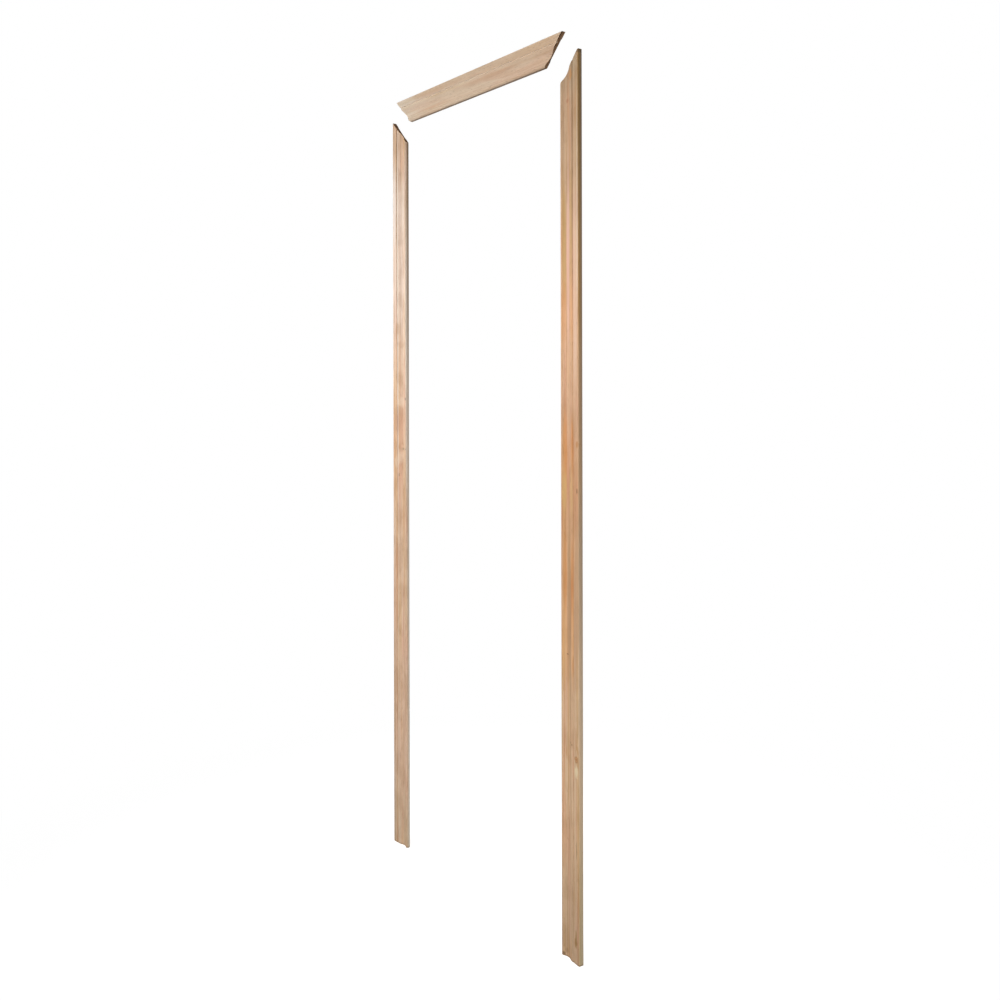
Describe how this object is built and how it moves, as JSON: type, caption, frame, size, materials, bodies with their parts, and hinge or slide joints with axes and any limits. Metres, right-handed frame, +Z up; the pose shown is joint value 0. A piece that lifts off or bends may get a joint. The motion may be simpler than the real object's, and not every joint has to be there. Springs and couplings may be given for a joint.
{
  "type": "door casing",
  "caption": "Mitred door casing in bare profiled pine: side legs and a head with a crowned outer band, quirk, ogee, shallow hollow and inner bead, laid out unfixed round a doorway.",
  "frame": {"origin": "on the wall plane at floor level, midway between the two legs", "axes": "+X across the doorway to the right as seen from the front, +Y into the wall, +Z up; the profiled faces look towards -Y"},
  "size_m": [0.842, 0.0127, 2.1896],
  "materials": {
    "pine": "bare sanded pine with fine straight grain, matt"
  },
  "bodies": {
    "root": {"left_leg": "pine", "right_leg": "pine", "head_casing": "pine"}
  },
  "joints": []
}
